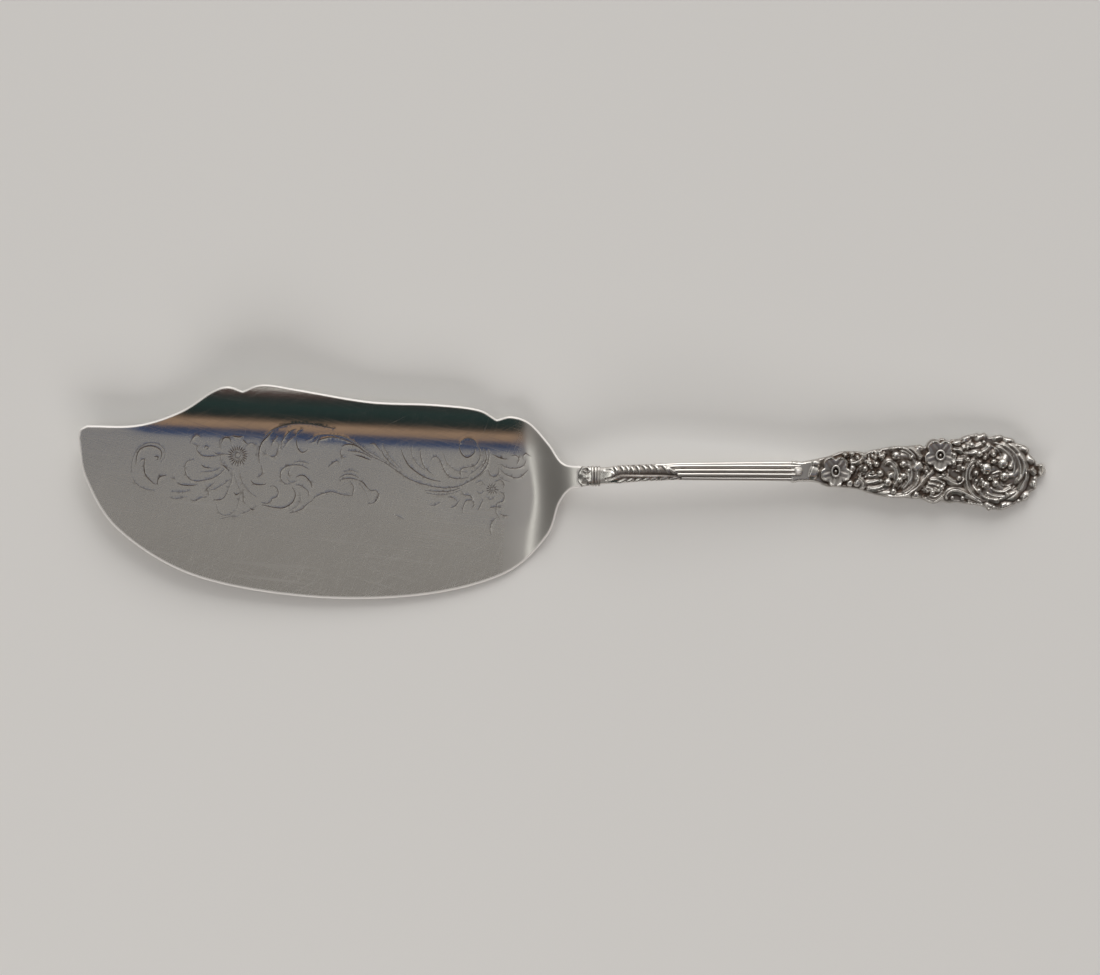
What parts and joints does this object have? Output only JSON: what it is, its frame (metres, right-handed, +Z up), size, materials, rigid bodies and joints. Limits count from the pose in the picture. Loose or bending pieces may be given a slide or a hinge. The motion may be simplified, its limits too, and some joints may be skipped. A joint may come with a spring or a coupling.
{
  "type": "fish server",
  "caption": "Silver fish server with a broad engraved blade, an upturned ogee rim, a reeded stem and a handle end carved with acanthus scrolls and blossoms.",
  "frame": {"origin": "middle of the bounding box seen from above, at the height of the surface that the piece lies on", "axes": "+X from the tip of the blade to the end of the handle, +Y to the side of the upturned rim, +Z up from the table"},
  "size_m": [0.2922, 0.0646, 0.0128],
  "materials": {
    "silver": "old polished silver, fine satin scratches, dark oxide in the carving and the engraving"
  },
  "bodies": {
    "root": {"fish_server": "silver"}
  },
  "joints": []
}
